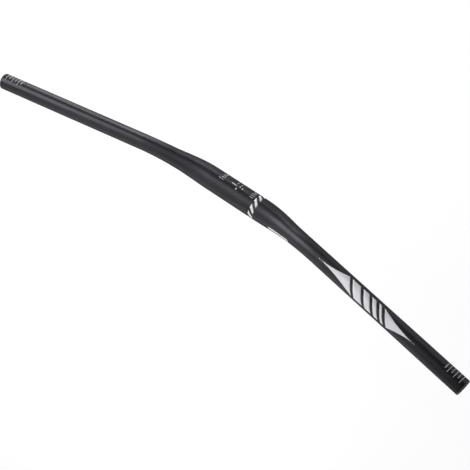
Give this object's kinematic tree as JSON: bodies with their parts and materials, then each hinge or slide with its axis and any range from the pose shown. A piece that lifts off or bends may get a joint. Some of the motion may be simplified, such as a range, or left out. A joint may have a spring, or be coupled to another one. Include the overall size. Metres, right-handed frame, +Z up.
{
  "type": "mountain bike handlebar",
  "caption": "Riser handlebar: one black aluminium tube, thick where the stem clamps it, tapering through two bends a side to slim open ends for grips and levers.",
  "frame": {"origin": "middle of the stem clamp, on the axis of its straight stretch", "axes": "+X along the clamp to the rider's right, +Y forward, +Z up; the ends rise to +Z and sweep back to -Y"},
  "size_m": [0.743, 0.0614, 0.0667],
  "materials": {
    "black_aluminium": "satin"
  },
  "bodies": {
    "root": {"handlebar": "black_aluminium"}
  },
  "joints": []
}
